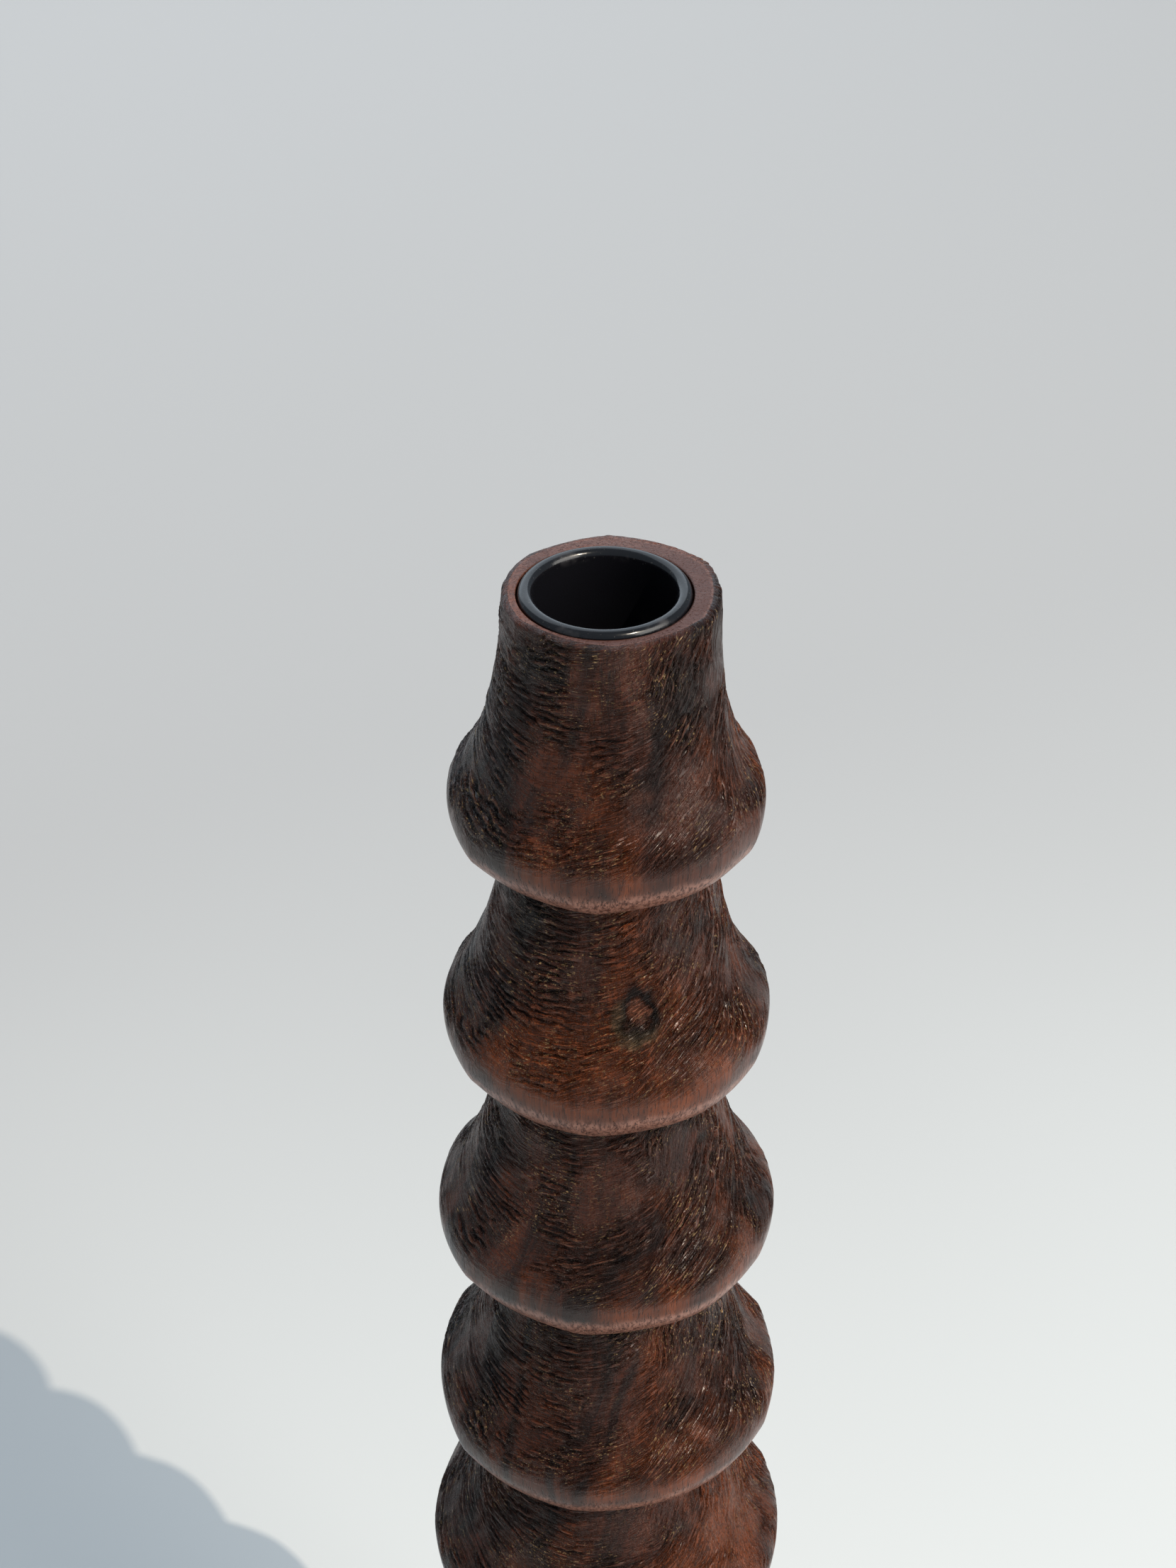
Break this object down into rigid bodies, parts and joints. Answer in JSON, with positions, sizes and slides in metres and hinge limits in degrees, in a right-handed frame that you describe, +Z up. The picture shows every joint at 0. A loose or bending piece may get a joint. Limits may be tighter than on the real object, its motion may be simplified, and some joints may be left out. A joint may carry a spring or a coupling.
{
  "type": "candlestick",
  "caption": "Tall turned wooden candlestick of stacked bell-shaped tiers widening to a round foot, with a drop-in metal cup for one taper candle.",
  "frame": {"origin": "centre of the standing face, on the turning axis of the column", "axes": "+Z up along the column towards the candle cup; -Y faces the viewer"},
  "size_m": [0.0928, 0.0928, 0.4209],
  "materials": {
    "stained_wood": "dark brown stain, rasped sides and smooth turned undersides, satin wax",
    "black_lacquered_metal": "gloss black lacquer, slightly scuffed on the rim",
    "felt": "dense pressed felt, matt"
  },
  "bodies": {
    "stick": {"column": "stained_wood", "foot_felt": "felt"},
    "cup": {"candle_cup": "black_lacquered_metal"}
  },
  "joints": [
    {"name": "cup_lift", "type": "slide", "parent": "stick", "child": "cup", "axis": [0, 0, 1], "range_m": [0, 0.03]}
  ]
}
